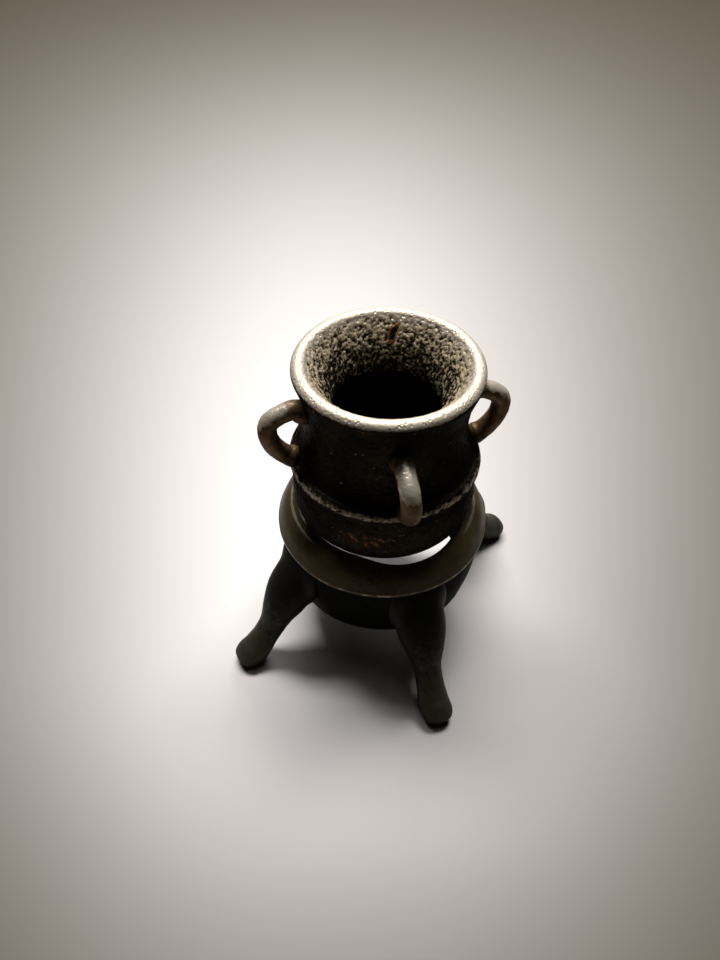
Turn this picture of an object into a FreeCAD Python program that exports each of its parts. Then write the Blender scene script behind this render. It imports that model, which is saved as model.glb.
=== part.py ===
# Burner pot with loop handles on a four-legged collar stand. Millimetres, +Z up, front is -Y.
# The floor is z = 0 and the stand's axis is the Z axis.
import FreeCAD, Part
import math
import os

os.makedirs("parts", exist_ok=True)
Vec = FreeCAD.Vector

# Driving sizes of the stand
APRON_LOW_Z = 11.0          # clear height under the apron
APRON_HEIGHT = 12.75
APRON_WALL = 1.6
APRON_TAPER = 1.5           # how far the apron draws in from top to bottom
EDGE_STEP = 0.75            # overhang of the collar's crisp lower edge
SPIGOT_DEPTH = 1.5          # collar spigot standing inside the apron
COLLAR_BAND = 3.85          # radial width of the sloping collar band
COLLAR_EDGE = 0.7           # height of the crisp lower edge
BAND_BULGE = 0.62           # how far the band stands proud of a straight slope
BORE_LOW_REACH = 1.0        # the worn side of the collar opening reaches this much further out
BORE_LOW_HALF_ANGLE = 45.0
BORE_LOW_AZIMUTH = 22.0

# Driving sizes of the pot
BELLY_RADIUS = 15.75
BASE_CORNER = 6.0           # round between belly and base
POT_BASE_RISE = 3.0         # pot base above the collar's lower edge
POT_WALL = 1.9
BEAD_RISE = 13.0            # bead centre above the pot base
BEAD_TUBE = 1.25
BEAD_SET = 0.75             # the body draws in this much at the bead
NECK_RISE = 20.9            # narrowest part above the pot base
NECK_RADIUS = 13.2
RIM_RISE = 30.75            # lip centre above the pot base
RIM_RADIUS = 15.0           # outside of the lip
LIP_TUBE = 1.25
THROAT_RADIUS = 8.8
THROAT_DROP = 5.7           # throat edge below the lip centre
THROAT_LENGTH = 2.6

# Fits
SEAT_ANGLE = 38.0           # where the round of the pot meets the collar seat
SEAT_CLEARANCE = 0.10
SEAT_BELOW = 0.45
SEAT_ABOVE = 0.55

# Handles and legs
HANDLE_AZIMUTHS = {"left": -76.0, "front": 13.0, "right": 104.0, "back": 193.0}
HANDLE_LEANS = {"left": 0.0, "front": 6.0, "right": 0.0, "back": 0.0}
HANDLE_ROD = 1.6            # radius of the loop's rod
HANDLE_REACH = 3.0          # rod centre beyond the outside of the bead
HANDLE_TOP = 3.3            # top of the rod's centre line above the neck
HANDLE_FOOT = 1.4           # lower end of the loop above the bead
HANDLE_PAD = 2.0            # ends spread to this radius where they are brazed
LEG_AZIMUTHS = {"left": -54.0, "front": 23.0, "right": 126.0, "back": 203.0}
FOOT_REACH = 28.6           # sole centre from the axis
FOOT_HALF = (3.1, 2.85, 2.75)
FOOT_RISE = 2.1
LEG_HALF_WIDTHS = (3.5, 4.1, 4.5, 4.2, 3.35, 2.6, 2.5, 2.7)
# Outer and inner line of a leg, from the collar down to the foot. The first number runs from 0 at the
# collar's edge to 1 at the sole's centre, the second from 0 on the floor to 1 at the collar's lower edge.
LEG_OUTER = ((-0.05, 1.0), (0.15, 0.89), (0.37, 0.766), (0.53, 0.648), (0.625, 0.535), (0.716, 0.40),
             (0.865, 0.299), (1.04, 0.232))
LEG_INNER = ((-0.33, 0.926), (-0.32, 0.783), (-0.28, 0.632), (-0.178, 0.514), (0.056, 0.408), (0.269, 0.299),
             (0.482, 0.173), (0.716, 0.063))

# Shared heights and radii
COLLAR_LOW_Z = APRON_LOW_Z + APRON_HEIGHT
POT_BASE_Z = COLLAR_LOW_Z + POT_BASE_RISE
BEAD_Z = POT_BASE_Z + BEAD_RISE
NECK_Z = POT_BASE_Z + NECK_RISE
RIM_Z = POT_BASE_Z + RIM_RISE
THROAT_Z = RIM_Z - THROAT_DROP
CORNER_R = BELLY_RADIUS - BASE_CORNER
CORNER_Z = POT_BASE_Z + BASE_CORNER
BODY_AT_BEAD = BELLY_RADIUS - BEAD_SET

# Collar seat, parallel to the round of the pot and one clearance away from it
seat = math.radians(SEAT_ANGLE)
seat_reach = BASE_CORNER + SEAT_CLEARANCE
seat_mid = (CORNER_R + seat_reach * math.cos(seat), CORNER_Z - seat_reach * math.sin(seat))
seat_low = (seat_mid[0] - SEAT_BELOW * math.sin(seat), seat_mid[1] - SEAT_BELOW * math.cos(seat))
seat_top = (seat_mid[0] + SEAT_ABOVE * math.sin(seat), seat_mid[1] + SEAT_ABOVE * math.cos(seat))
COLLAR_RADIUS = seat_top[0] + COLLAR_BAND
APRON_TOP_RADIUS = COLLAR_RADIUS - EDGE_STEP
SPIGOT_RADIUS = APRON_TOP_RADIUS - APRON_WALL
APRON_LOW_RADIUS = APRON_TOP_RADIUS - APRON_TAPER


def at(point):
    """Place an (r, z) pair in the XZ plane."""
    return Vec(point[0], 0, point[1])


def line(a, b):
    return Part.LineSegment(at(a), at(b)).toShape()


def arc(a, b, c):
    return Part.Arc(at(a), at(b), at(c)).toShape()


def curve(points):
    spline = Part.BSplineCurve()
    spline.interpolate([at(p) for p in points])
    return spline.toShape()


def revolved(edges):
    face = Part.Face(Part.Wire(edges))
    return face.revolve(Vec(0, 0, 0), Vec(0, 0, 1), 360)


def turned(shape, azimuth):
    """Turn a shape built in the +X half plane so that it points at an azimuth from the front."""
    placed = shape.copy()
    placed.rotate(Vec(0, 0, 0), Vec(0, 0, 1), azimuth - 90.0)
    return placed


def one_solid(shape):
    """The largest solid of a boolean result."""
    return max(shape.Solids, key=lambda piece: piece.Volume)


def corner_point(angle, radius):
    """A point on the pot's base round, angle measured down from level."""
    a = math.radians(angle)
    return (CORNER_R + radius * math.cos(a), CORNER_Z - radius * math.sin(a))


def pot_body():
    """Cast pot: rolled lip, funnel mouth, throat, bell-shaped body, bead and rounded base."""
    lip_r = RIM_RADIUS - LIP_TUBE
    body_at_bead = BODY_AT_BEAD
    flare = (RIM_RADIUS - 0.12, RIM_Z - 0.55)
    bead_top = (body_at_bead - 0.05, BEAD_Z + BEAD_TUBE)
    bead_low = (body_at_bead + 0.15, BEAD_Z - BEAD_TUBE)
    bead_out = (body_at_bead + BEAD_TUBE, BEAD_Z)
    funnel_top = (lip_r - 0.7071 * LIP_TUBE, RIM_Z + 0.7071 * LIP_TUBE)
    throat_top = (THROAT_RADIUS, THROAT_Z)
    throat_low = (THROAT_RADIUS, THROAT_Z - THROAT_LENGTH)
    shoulder = (NECK_RADIUS - POT_WALL, NECK_Z - 0.8)
    inner_belly = (BELLY_RADIUS - POT_WALL, CORNER_Z)
    inner_corner = corner_point(45.0, BASE_CORNER - POT_WALL)
    inner_base = (CORNER_R, POT_BASE_Z + POT_WALL)
    edges = [
        line((0, POT_BASE_Z), (CORNER_R, POT_BASE_Z)),
        arc((CORNER_R, POT_BASE_Z), corner_point(45.0, BASE_CORNER), (BELLY_RADIUS, CORNER_Z)),
        curve([(BELLY_RADIUS, CORNER_Z), (BELLY_RADIUS - 0.18, 0.55 * CORNER_Z + 0.45 * BEAD_Z), bead_low]),
        arc(bead_low, bead_out, bead_top),
        curve([bead_top, (0.45 * body_at_bead + 0.55 * NECK_RADIUS, 0.6 * BEAD_Z + 0.4 * NECK_Z),
               (NECK_RADIUS, NECK_Z), (NECK_RADIUS + 0.35, 0.55 * NECK_Z + 0.45 * RIM_Z), flare]),
        arc(flare, (lip_r + 0.6 * LIP_TUBE, RIM_Z + 0.8 * LIP_TUBE), funnel_top),
        curve([funnel_top, (0.5 * (funnel_top[0] + THROAT_RADIUS) - 0.12, 0.5 * (funnel_top[1] + THROAT_Z) - 0.1),
               throat_top]),
        line(throat_top, throat_low),
        curve([throat_low, (0.4 * THROAT_RADIUS + 0.6 * shoulder[0], 0.35 * throat_low[1] + 0.65 * shoulder[1] + 0.5),
               shoulder]),
        curve([shoulder, (body_at_bead - POT_WALL, BEAD_Z), inner_belly]),
        arc(inner_belly, inner_corner, inner_base),
        line(inner_base, (0, POT_BASE_Z + POT_WALL)),
        line((0, POT_BASE_Z + POT_WALL), (0, POT_BASE_Z)),
    ]
    return revolved(edges)


def brazed_end(r, z, reach):
    """A rod's end, spread into a flat drop against the pot."""
    drop = Part.makeSphere(HANDLE_PAD)
    squash = FreeCAD.Matrix()
    squash.scale(reach, 0.95, 1.0)
    drop = drop.transformGeometry(squash)
    drop.translate(Vec(r, 0, z))
    return drop


def handle(pot, azimuth, lean):
    """One loop: a bent rod brazed under the flare and over the bead, where its ends are spread flat."""
    rod = HANDLE_ROD
    reach = BODY_AT_BEAD + BEAD_TUBE + HANDLE_REACH
    top_z = NECK_Z + HANDLE_TOP
    foot_z = BEAD_Z + HANDLE_FOOT
    points = [(NECK_RADIUS - 0.55 * rod, top_z - 0.6 * rod), (NECK_RADIUS + 1.4 * rod, top_z + 0.1 * rod),
              (reach - 0.37 * rod, top_z - 1.0 * rod), (reach, top_z - 2.55 * rod),
              (reach - 0.5 * rod, foot_z + 1.95 * rod), (reach - 1.5 * rod, foot_z + 0.6 * rod),
              (BODY_AT_BEAD - 0.4 * rod, foot_z)]
    path = Part.Wire([curve(points)])
    start = path.Edges[0]
    ring = Part.Circle(start.valueAt(start.FirstParameter), start.tangentAt(start.FirstParameter), rod)
    bent = path.makePipeShell([Part.Wire([ring.toShape()])], True, True)
    loop = bent.fuse([brazed_end(BODY_AT_BEAD + 0.25 * rod, foot_z + 0.1 * rod, 0.75),
                      brazed_end(NECK_RADIUS + 0.2 * rod, top_z - 0.25 * rod, 0.85)])
    loop.rotate(Vec(0, 0, 0.5 * (top_z + foot_z)), Vec(1, 0, 0), lean)
    return one_solid(turned(loop, azimuth).cut(pot))


def collar_ring():
    """Sloping band with a crisp lower edge, a seat for the pot and a spigot that stands in the apron."""
    band_top = (seat_top[0] + 0.35, seat_top[1] - 0.12)
    edge_top = (COLLAR_RADIUS, COLLAR_LOW_Z + COLLAR_EDGE)
    middle = (0.5 * (band_top[0] + edge_top[0]) + 0.74 * BAND_BULGE, 0.5 * (band_top[1] + edge_top[1]) + 0.67 * BAND_BULGE)
    spigot_low = COLLAR_LOW_Z - SPIGOT_DEPTH
    edges = [
        line((seat_low[0], spigot_low), (SPIGOT_RADIUS, spigot_low)),
        line((SPIGOT_RADIUS, spigot_low), (SPIGOT_RADIUS, COLLAR_LOW_Z)),
        line((SPIGOT_RADIUS, COLLAR_LOW_Z), (COLLAR_RADIUS, COLLAR_LOW_Z)),
        line((COLLAR_RADIUS, COLLAR_LOW_Z), edge_top),
        arc(edge_top, middle, band_top),
        line(band_top, seat_top),
        line(seat_top, seat_low),
        line(seat_low, (seat_low[0], spigot_low)),
    ]
    ring = revolved(edges)
    # The opening is worn out of round on one side, so light shows past the pot there
    far = seat_top[0] + BORE_LOW_REACH
    near = seat_top[0]
    swing = math.cos(math.radians(BORE_LOW_HALF_ANGLE))
    shift = (far * far - near * near) / (2.0 * (far - near * swing))
    low = Part.makeCylinder(far - shift, SPIGOT_DEPTH + BASE_CORNER + POT_BASE_RISE, Vec(shift, 0, spigot_low - 0.5))
    return one_solid(ring.cut(turned(low, BORE_LOW_AZIMUTH)))


def apron_profile(inset):
    """Outer curve of the apron, or its inner curve when inset by the wall."""
    top = (APRON_TOP_RADIUS - inset, COLLAR_LOW_Z)
    low = (APRON_LOW_RADIUS - inset, APRON_LOW_Z)
    middle = (APRON_TOP_RADIUS - 0.16 * APRON_TAPER - inset, COLLAR_LOW_Z - 0.52 * APRON_HEIGHT)
    return top, middle, low


def apron_ring():
    """Bowl-shaped apron under the collar, open above and below."""
    top, middle, low = apron_profile(0)
    inner_top, inner_middle, inner_low = apron_profile(APRON_WALL)
    floor_mid = (0.5 * (low[0] + inner_low[0]), APRON_LOW_Z - 0.45)
    edges = [
        line(inner_top, top),
        curve([top, middle, low]),
        arc(low, floor_mid, inner_low),
        curve([inner_low, inner_middle, inner_top]),
    ]
    # Socket for the collar's spigot
    socket = Part.makeCylinder(SPIGOT_RADIUS, SPIGOT_DEPTH + 1.0, Vec(0, 0, COLLAR_LOW_Z - SPIGOT_DEPTH))
    return one_solid(revolved(edges).cut(socket))


def apron_core():
    """The apron's outside as a filled solid, used to fit the legs to it."""
    top, middle, low = apron_profile(0)
    edges = [
        line((0, COLLAR_LOW_Z), top),
        curve([top, middle, low]),
        line(low, (0, APRON_LOW_Z)),
        line((0, APRON_LOW_Z), (0, COLLAR_LOW_Z)),
    ]
    return revolved(edges)


def leg_point(pair):
    """Turn a station of the leg's line into (r, z)."""
    return (COLLAR_RADIUS + pair[0] * (FOOT_REACH - COLLAR_RADIUS), pair[1] * COLLAR_LOW_Z)


def section(outer, inner, wide):
    """Ellipse across a leg, from its inner line to its outer line."""
    far, near = at(outer), at(inner)
    middle = (far + near) * 0.5
    over = (far - near) * 0.5
    across = Vec(0, wide, 0)
    count = 16
    points = []
    for step in range(count):
        t = 2 * math.pi * step / count
        points.append(middle + across * math.cos(t) + over * math.sin(t))
    ring = Part.BSplineCurve()
    ring.interpolate(points, PeriodicFlag=True)
    return Part.Wire([ring.toShape()])


def leg(core, collar, azimuth):
    """One cabriole leg: root on the apron, knee, slim ankle and a turned-out foot with a flat sole."""
    stations = [section(leg_point(outer), leg_point(inner), wide)
                for outer, inner, wide in zip(LEG_OUTER, LEG_INNER, LEG_HALF_WIDTHS)]
    shaft = Part.makeLoft(stations, True, False)
    foot = Part.makeSphere(1.0)
    stretch = FreeCAD.Matrix()
    stretch.scale(*FOOT_HALF)
    foot = foot.transformGeometry(stretch)
    foot.translate(Vec(FOOT_REACH, 0, FOOT_RISE))
    shape = shaft.fuse(foot)
    below = Part.makeBox(4 * FOOT_REACH, 4 * FOOT_REACH, FOOT_REACH, Vec(-2 * FOOT_REACH, -2 * FOOT_REACH, -FOOT_REACH))
    shape = one_solid(shape.cut(below))
    shape = turned(shape, azimuth)
    # Nothing of the root is left inside the apron's hollow
    inside = Part.makeCylinder(APRON_LOW_RADIUS, 1.1 * APRON_LOW_Z, Vec(0, 0, -0.1 * APRON_LOW_Z))
    return one_solid(shape.cut([core, collar, inside]))


def main():
    pieces = {}
    pot = pot_body()
    pieces["pot_body"] = pot
    for side, azimuth in HANDLE_AZIMUTHS.items():
        pieces["handle_" + side] = handle(pot, azimuth, HANDLE_LEANS[side])
    collar = collar_ring()
    pieces["collar_ring"] = collar
    pieces["apron_ring"] = apron_ring()
    core = apron_core()
    for side, azimuth in LEG_AZIMUTHS.items():
        pieces["leg_" + side] = leg(core, collar, azimuth)
    for name, shape in pieces.items():
        shape.exportStep("parts/" + name + ".step")
        box = shape.BoundBox
        print(name, "valid", shape.isValid(), "solids", len(shape.Solids), "volume", round(shape.Volume, 1),
              "z", round(box.ZMin, 2), round(box.ZMax, 2), "x", round(box.XMin, 2), round(box.XMax, 2),
              "y", round(box.YMin, 2), round(box.YMax, 2))


main()
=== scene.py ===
"""Looks of a cast burner pot with loop handles, seated in the collar of a four-legged stand."""
from __future__ import annotations

import logging
import math
from dataclasses import dataclass, field
from enum import Enum, IntEnum
from functools import partial
from typing import Sequence

import bpy
import numpy as np
from mathutils import Matrix, Vector, noise

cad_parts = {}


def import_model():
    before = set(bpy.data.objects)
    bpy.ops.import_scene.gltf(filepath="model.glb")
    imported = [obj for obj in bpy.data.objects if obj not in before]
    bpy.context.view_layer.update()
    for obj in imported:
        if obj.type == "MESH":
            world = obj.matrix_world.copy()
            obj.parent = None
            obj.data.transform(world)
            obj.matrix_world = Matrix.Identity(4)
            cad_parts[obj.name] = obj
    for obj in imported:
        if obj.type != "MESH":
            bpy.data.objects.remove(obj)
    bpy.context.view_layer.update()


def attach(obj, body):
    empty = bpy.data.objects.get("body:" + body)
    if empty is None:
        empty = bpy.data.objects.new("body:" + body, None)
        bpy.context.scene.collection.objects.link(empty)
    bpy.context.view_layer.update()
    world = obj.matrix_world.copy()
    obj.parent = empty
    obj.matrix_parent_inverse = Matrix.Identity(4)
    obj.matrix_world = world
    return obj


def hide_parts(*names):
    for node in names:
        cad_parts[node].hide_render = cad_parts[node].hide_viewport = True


LOG = logging.getLogger("burner")
MM = 0.001
TURN = 2.0 * math.pi
DIAGONAL = 0.707
SENSOR_MM = 36.0

# Shading values that every finish shares
COATED_METAL = 0.12
SPECULAR_LEVEL = 0.1
BUMP_MM = 0.12

# Directions of the legs and handles, in degrees from the front, and how far a handle leans
LEG_AZIMUTHS = {"left": -54.0, "front": 23.0, "right": 126.0, "back": 203.0}
HANDLE_AZIMUTHS = {"left": -76.0, "front": 13.0, "right": 104.0, "back": 193.0}
HANDLE_LEANS = {"front": 6.0}

Point = tuple[float, float]
Place = tuple[float, float, float]
Colour = tuple[float, float, float]
Face = tuple[int, ...]
Tree = bpy.types.ShaderNodeTree
Node = bpy.types.Node
Socket = bpy.types.NodeSocket


class Body(Enum):
    """The moving bodies of the part."""

    STAND = "stand"
    POT = "pot"


class Slot(Enum):
    """Names of the material slots."""

    POT = "pot_bronze"
    HANDLE = "handle_bronze"
    STAND = "stand_bronze"
    LEG = "leg_bronze"


class Mask(Enum):
    """Point attributes that tell the finishes where a surface is rubbed or carries a painted highlight, rusty
    or crusted.
    """

    WEAR_AND_PAINTED_LIGHT = "wear_and_painted_light"
    RUST = "rust"
    CRUST = "crust"


class Zone(IntEnum):
    """Parts of the pot's wall, in the order of its outline."""

    OUTSIDE = 0
    LIP = 1
    FUNNEL = 2
    INSIDE = 3


@dataclass(frozen=True)
class Border:
    """How ragged the edge of a mask is: its share of noise, and the noise's scale."""

    break_up: float
    scale: float


BORDERS = {
    Mask.WEAR_AND_PAINTED_LIGHT: Border(break_up=0.9, scale=900.0),
    Mask.RUST: Border(break_up=1.6, scale=1100.0),
    Mask.CRUST: Border(break_up=1.2, scale=3200.0),
}


def smooth_step(low: float, high: float, value: np.ndarray) -> np.ndarray:
    """Ramp smoothly from 0 at low to 1 at high.

    Args:
        low: value where the ramp starts.
        high: value where the ramp ends.
        value: values to ramp.

    Returns:
        The ramped values.
    """
    t = np.clip((value - low) / (high - low), 0.0, 1.0)
    return t * t * (3.0 - 2.0 * t)


def smooth_line(points: Sequence[Sequence[float]], count: int, fine_steps: int = 24) -> np.ndarray:
    """Run a smooth line through points, evenly spaced along its length.

    Args:
        points: points of any dimension that the line passes through.
        count: number of points wanted.
        fine_steps: steps between two points while the line is worked out.

    Returns:
        An array of count points.
    """
    knots = np.asarray(points, dtype=float)
    padded = np.vstack([2 * knots[0] - knots[1], knots, 2 * knots[-1] - knots[-2]])
    fine = []
    for i in range(1, len(padded) - 2):
        a, b, c, d = padded[i - 1:i + 3]
        for t in np.linspace(0.0, 1.0, fine_steps, endpoint=False):
            fine.append(0.5 * (2 * b + (c - a) * t + (2 * a - 5 * b + 4 * c - d) * t ** 2
                               + (3 * b - a - 3 * c + d) * t ** 3))
    fine.append(padded[-2])
    line = np.asarray(fine)
    steps = np.linalg.norm(np.diff(line[:, :2], axis=0), axis=1)
    along = np.concatenate([[0.0], np.cumsum(steps)])
    wanted = np.linspace(0.0, along[-1], count)
    return np.stack([np.interp(wanted, along, line[:, k]) for k in range(line.shape[1])], axis=1)


def round_line(centre: Point, radius: float, start: float, end: float, count: int) -> np.ndarray:
    """Points on an arc in the (r, z) plane.

    Args:
        centre: centre of the arc in mm.
        radius: radius in mm.
        start: first angle in degrees, anticlockwise from outward.
        end: last angle in degrees.
        count: number of points.

    Returns:
        An array of (r, z) points.
    """
    angles = np.radians(np.linspace(start, end, count))
    return np.stack([centre[0] + radius * np.cos(angles), centre[1] + radius * np.sin(angles)], axis=1)


def grain(points: np.ndarray, size: float, seed: float, octaves: int = 3) -> np.ndarray:
    """Smooth random values over points, repeatable from run to run.

    Args:
        points: points in mm.
        size: size of a lump in mm.
        seed: offset that picks the pattern.
        octaves: levels of finer detail.

    Returns:
        One value for each point, about -1 to 1.
    """
    shift = Vector((seed * 17.3, seed * 5.1, seed * 9.7))
    return np.array([noise.fractal(Vector(p) / size + shift, 1.0, 2.0, octaves) for p in points])


def pits(points: np.ndarray, size: float, seed: float) -> np.ndarray:
    """Small round hollows scattered over points.

    Args:
        points: points in mm.
        size: distance between hollows in mm.
        seed: offset that picks the pattern.

    Returns:
        Depth from 0 to 1 for each point.
    """
    shift = Vector((seed * 3.9, seed * 11.7, seed * 2.3))
    near = np.array([noise.voronoi(Vector(p) / size + shift)[0][0] for p in points])
    return 1.0 - smooth_step(0.12, 0.55, near)


@dataclass
class Skin:
    """A mesh under construction, in mm, with its masks."""

    name: str
    points: np.ndarray
    faces: list[Face]
    masks: dict[Mask, np.ndarray] = field(default_factory=dict)

    def normals(self) -> np.ndarray:
        """Unit normals at the points, from the faces round each."""
        total = np.zeros_like(self.points)
        quads = np.array([f for f in self.faces if len(f) == 4])
        if len(quads):
            p = self.points[quads]
            flat = np.cross(p[:, 2] - p[:, 0], p[:, 3] - p[:, 1])
            for k in range(4):
                np.add.at(total, quads[:, k], flat)
        length = np.linalg.norm(total, axis=1, keepdims=True)
        return total / np.maximum(length, 1e-9)

    def push(self, amount: np.ndarray) -> None:
        """Move each point along its normal by an amount in mm."""
        self.points = self.points + self.normals() * amount[:, None]

    def turn(self, azimuth: float) -> None:
        """Turn from the +X half plane to an azimuth in degrees from the front."""
        a = math.radians(azimuth - 90.0)
        x, y = self.points[:, 0].copy(), self.points[:, 1].copy()
        self.points[:, 0] = x * math.cos(a) - y * math.sin(a)
        self.points[:, 1] = x * math.sin(a) + y * math.cos(a)

    def to_object(self, finish: "Finish", body: Body, slot: Slot) -> bpy.types.Object:
        """Make the Blender object, standing for the CAD node of the same name.

        Args:
            finish: finish that it wears.
            body: body that it moves with.
            slot: not used.

        Returns:
            The new object.
        """
        mesh = bpy.data.meshes.new(self.name + "_skin")
        mesh.from_pydata((self.points * MM).tolist(), [], self.faces)
        mesh.polygons.foreach_set("use_smooth", [True] * len(mesh.polygons))
        for mask in Mask:
            layer = mesh.attributes.new(mask.value, "FLOAT", "POINT")
            values = self.masks.get(mask, np.zeros(len(self.points)))
            layer.data.foreach_set("value", np.clip(values, 0.0, 1.0).astype(np.float32))
        mesh.update()
        piece = bpy.data.objects.new(self.name + "_cast", mesh)
        bpy.context.scene.collection.objects.link(piece)
        mesh.materials.append(finish.material())
        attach(piece, body.value)
        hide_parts(self.name)
        LOG.info("%s: %d faces", piece.name, len(mesh.polygons))
        return piece


def ring_faces(rings: int, segments: int, closed: bool) -> list[Face]:
    """Four-sided faces between rings of points that follow one another.

    Args:
        rings: number of rings.
        segments: points on each ring.
        closed: True where the last ring joins the first.

    Returns:
        The faces as point numbers.
    """
    faces: list[Face] = []
    for i in range(rings if closed else rings - 1):
        lower, upper = i * segments, ((i + 1) % rings) * segments
        for j in range(segments):
            k = (j + 1) % segments
            faces.append((lower + j, lower + k, upper + k, upper + j))
    return faces


def capped_faces(rings: int, segments: int) -> list[Face]:
    """Faces between rings of points, with a flat face at each end.

    Args:
        rings: number of rings.
        segments: points on each ring.

    Returns:
        The faces as point numbers.
    """
    end = (rings - 1) * segments
    caps = [tuple(reversed(range(segments))), tuple(range(end, end + segments))]
    return ring_faces(rings, segments, False) + caps


def spin_skin(name: str, line: np.ndarray, segments: int, closed: bool) -> Skin:
    """Turn a profile line about the Z axis.

    Args:
        name: CAD node that the skin stands for.
        line: (r, z) points in mm.
        segments: steps round the axis.
        closed: True where the last point joins the first.

    Returns:
        The skin, its outside facing out where the line runs anticlockwise.
    """
    angles = np.linspace(0.0, TURN, segments, endpoint=False)
    points = np.stack([np.outer(line[:, 0], np.cos(angles)), np.outer(line[:, 0], np.sin(angles)),
                       np.repeat(line[:, 1:2], segments, axis=1)], axis=2).reshape(-1, 3)
    return Skin(name, points, ring_faces(len(line), segments, closed))


def sweep_skin(name: str, stations: np.ndarray, segments: int) -> Skin:
    """Sweep an ellipse along a line in the +X half plane, closed at both ends.

    Args:
        name: CAD node that the skin stands for.
        stations: rows of r, z, half thickness and half width in mm.
        segments: steps round the ellipse.

    Returns:
        The skin.
    """
    ahead = np.gradient(stations[:, :2], axis=0)
    ahead /= np.linalg.norm(ahead, axis=1, keepdims=True)
    angles = np.linspace(0.0, TURN, segments, endpoint=False)
    sideways = np.array([0.0, 1.0, 0.0])
    rows = []
    for (r, z, thick, wide), (dr, dz) in zip(stations, ahead):
        over = np.array([-dz, 0.0, dr])
        rows.append(np.array([r, 0.0, z]) + np.outer(np.sin(angles) * thick, over)
                    + np.outer(np.cos(angles) * wide, sideways))
    return Skin(name, np.vstack(rows), capped_faces(len(stations), segments))


def maths(tree: Tree, operation: str, *values: float | Socket) -> Socket:
    """One maths node, fed by sockets or numbers.

    Args:
        tree: the material's or group's nodes.
        operation: what the node works out.
        values: its inputs.

    Returns:
        The socket of the result.
    """
    node = tree.nodes.new("ShaderNodeMath")
    node.operation = operation
    for place, value in zip(node.inputs, values):
        if isinstance(value, float):
            place.default_value = value
        else:
            tree.links.new(value, place)
    return node.outputs[0]


class NodeGroups:
    """Shader effects that the finishes share, each built once."""

    def __init__(self) -> None:
        """Build every group."""
        self.pitting = self._pitting()
        self.patina = self._patina()
        self.rub = self._rub()

    @staticmethod
    def _new(name: str, inputs: Sequence[tuple[str, float]], outputs: Sequence[str]) -> Tree:
        """Start a group with float sockets.

        Args:
            name: name of the group.
            inputs: names and default values of the input sockets.
            outputs: names of the output sockets.

        Returns:
            The group with its input and output nodes.
        """
        tree = bpy.data.node_groups.new(name, "ShaderNodeTree")
        for label, value in inputs:
            socket = tree.interface.new_socket(label, in_out="INPUT", socket_type="NodeSocketFloat")
            socket.default_value = value
        for label in outputs:
            tree.interface.new_socket(label, in_out="OUTPUT", socket_type="NodeSocketFloat")
        tree.nodes.new("NodeGroupInput")
        tree.nodes.new("NodeGroupOutput")
        return tree

    @staticmethod
    def _ends(tree: Tree) -> tuple[Node, Node]:
        """The group's input and output nodes."""
        return tree.nodes["Group Input"], tree.nodes["Group Output"]

    @staticmethod
    def _texture(tree: Tree, kind: str, scale: Socket, **values: float) -> Node:
        """A texture that sticks to the piece, with its scale from a socket.

        Args:
            tree: the group's nodes.
            kind: type of the texture node.
            scale: socket of the scale.
            values: constants for its other sockets.

        Returns:
            The texture node.
        """
        place = tree.nodes.new("ShaderNodeTexCoord")
        node = tree.nodes.new(kind)
        tree.links.new(place.outputs["Object"], node.inputs["Vector"])
        tree.links.new(scale, node.inputs["Scale"])
        for label, value in values.items():
            node.inputs[label].default_value = value
        return node

    @staticmethod
    def _ramp(tree: Tree, value: Socket) -> Node:
        """A smooth ramp, fed by a socket."""
        node = tree.nodes.new("ShaderNodeMapRange")
        node.interpolation_type = "SMOOTHSTEP"
        tree.links.new(value, node.inputs["Value"])
        return node

    def _pitting(self) -> Tree:
        """Cast grain: fine noise with round pits. Puts out a height."""
        tree = self._new("CastPitting", [("Grain Scale", 900.0), ("Pit Scale", 1500.0), ("Pit Depth", 0.5)],
                         ["Height"])
        start, end = self._ends(tree)
        fine = self._texture(tree, "ShaderNodeTexNoise", start.outputs["Grain Scale"],
                             Detail=5.0, Roughness=0.65)
        cells = self._texture(tree, "ShaderNodeTexVoronoi", start.outputs["Pit Scale"])
        cells.feature = "F1"
        hollow = self._ramp(tree, cells.outputs["Distance"])
        hollow.inputs["From Min"].default_value = 0.05
        hollow.inputs["From Max"].default_value = 0.45
        hollow.inputs["To Min"].default_value = 1.0
        hollow.inputs["To Max"].default_value = 0.0
        depth = maths(tree, "MULTIPLY", hollow.outputs["Result"], start.outputs["Pit Depth"])
        height = maths(tree, "SUBTRACT", fine.outputs["Fac"], depth)
        tree.links.new(height, end.inputs["Height"])
        return tree

    def _patina(self) -> Tree:
        """Cloudy patches of old patina. Puts out a mask."""
        tree = self._new("PatinaClouds", [("Scale", 160.0), ("Low", 0.42), ("High", 0.62)], ["Mask"])
        start, end = self._ends(tree)
        cloud = self._texture(tree, "ShaderNodeTexNoise", start.outputs["Scale"], Detail=6.0, Roughness=0.6)
        ramp = self._ramp(tree, cloud.outputs["Fac"])
        tree.links.new(start.outputs["Low"], ramp.inputs["From Min"])
        tree.links.new(start.outputs["High"], ramp.inputs["From Max"])
        tree.links.new(ramp.outputs["Result"], end.inputs["Mask"])
        return tree

    def _rub(self) -> Tree:
        """Rubbed edges: a mask broken up by grain, so that every mask has ragged borders. Puts out a mask."""
        tree = self._new("RubbedEdges", [("Mask", 0.0), ("Break Up", 0.5), ("Scale", 700.0)], ["Mask"])
        start, end = self._ends(tree)
        speck = self._texture(tree, "ShaderNodeTexNoise", start.outputs["Scale"], Detail=4.0)
        centred = maths(tree, "SUBTRACT", speck.outputs["Fac"], 0.5)
        spread = maths(tree, "MULTIPLY", centred, start.outputs["Break Up"])
        both = maths(tree, "ADD", start.outputs["Mask"], spread)
        ramp = self._ramp(tree, both)
        ramp.inputs["From Min"].default_value = 0.25
        ramp.inputs["From Max"].default_value = 0.75
        tree.links.new(ramp.outputs["Result"], end.inputs["Mask"])
        return tree


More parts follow.
